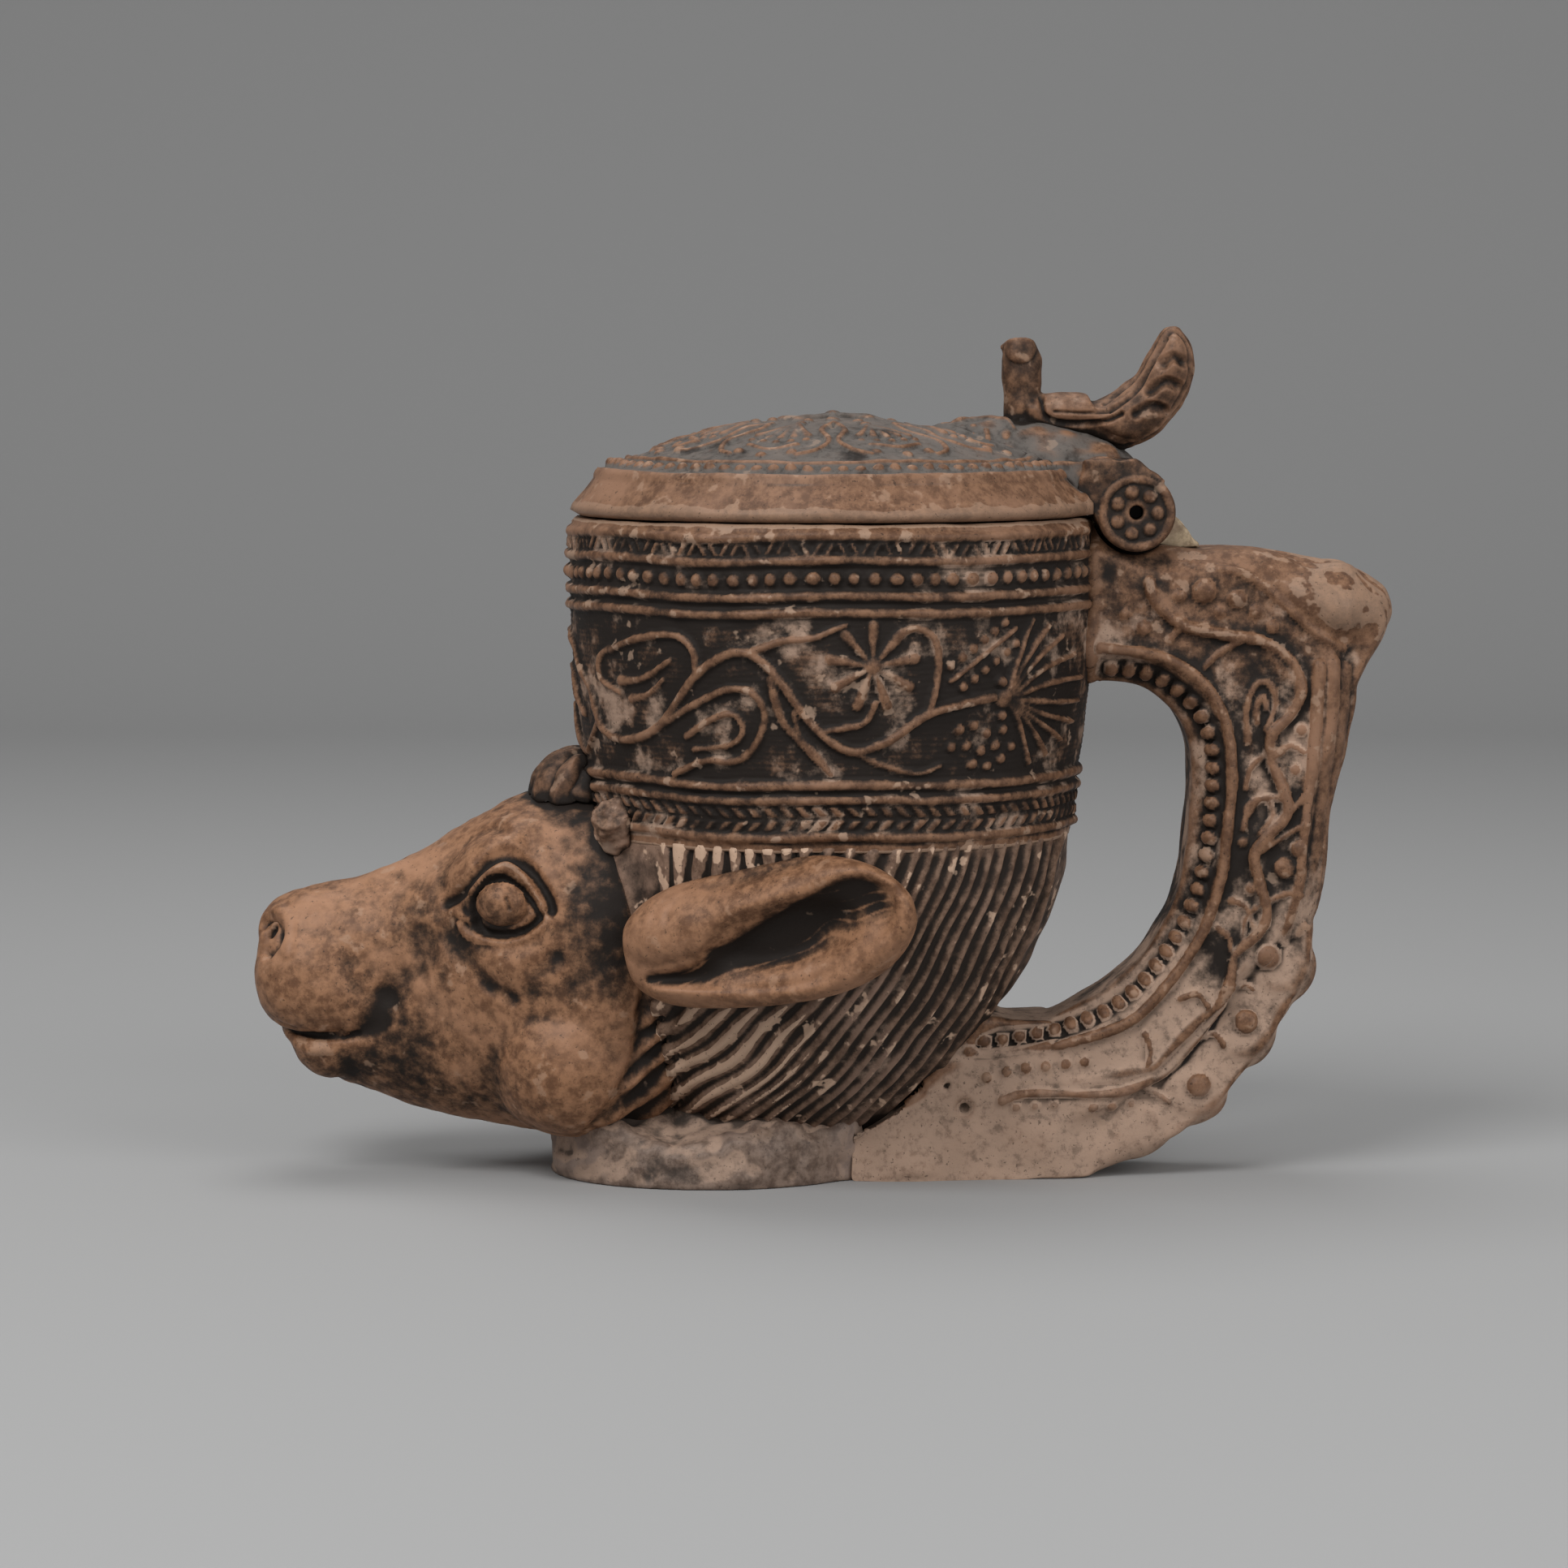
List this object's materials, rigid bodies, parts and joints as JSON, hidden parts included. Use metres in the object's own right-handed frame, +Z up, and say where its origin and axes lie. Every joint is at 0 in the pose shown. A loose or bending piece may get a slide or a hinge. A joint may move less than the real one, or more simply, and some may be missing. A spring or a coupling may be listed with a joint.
{
  "type": "rhyton drinking cup",
  "caption": "Hinged-lid clay drinking cup whose front is a calf's head, with a round relief-banded cup, a thick loop handle and a bird thumbpiece over the hinge.",
  "frame": {"origin": "on the resting face, straight under the axis of the round cup", "axes": "+X from the muzzle to the handle, +Y to the calf's right side (away from the viewer of the picture), +Z up along the axis of the cup"},
  "size_m": [0.2409, 0.1196, 0.1786],
  "materials": {
    "terracotta": "matt fired clay, dark in the hollows and worn warm on raised parts",
    "pale_clay": "matt pale fired clay, rubbed on the resting face",
    "cream_fill": "matt cream fill",
    "pin_metal": "dark dull metal"
  },
  "bodies": {
    "vessel": {"cup_wall": "terracotta", "calf_head": "terracotta", "left_eyeball": "terracotta", "right_eyeball": "terracotta", "forelock": "terracotta", "left_horn_bud": "terracotta", "right_horn_bud": "terracotta", "left_ear": "terracotta", "right_ear": "terracotta", "handle": "terracotta", "handle_spur": "terracotta", "handle_lobes": "terracotta", "foot_pad": "pale_clay", "hinge_post": "cream_fill", "hinge_pin": "pin_metal"},
    "lid": {"lid": "terracotta", "left_lid_knuckle": "terracotta", "right_lid_knuckle": "terracotta", "bird_mound": "terracotta", "thumb_bird": "terracotta"}
  },
  "joints": [
    {"name": "lid_hinge", "type": "hinge", "parent": "vessel", "child": "lid", "pos_m": [0.0632, 0, 0.1404], "axis": [0, 1, 0], "range_deg": [0, 78]}
  ]
}
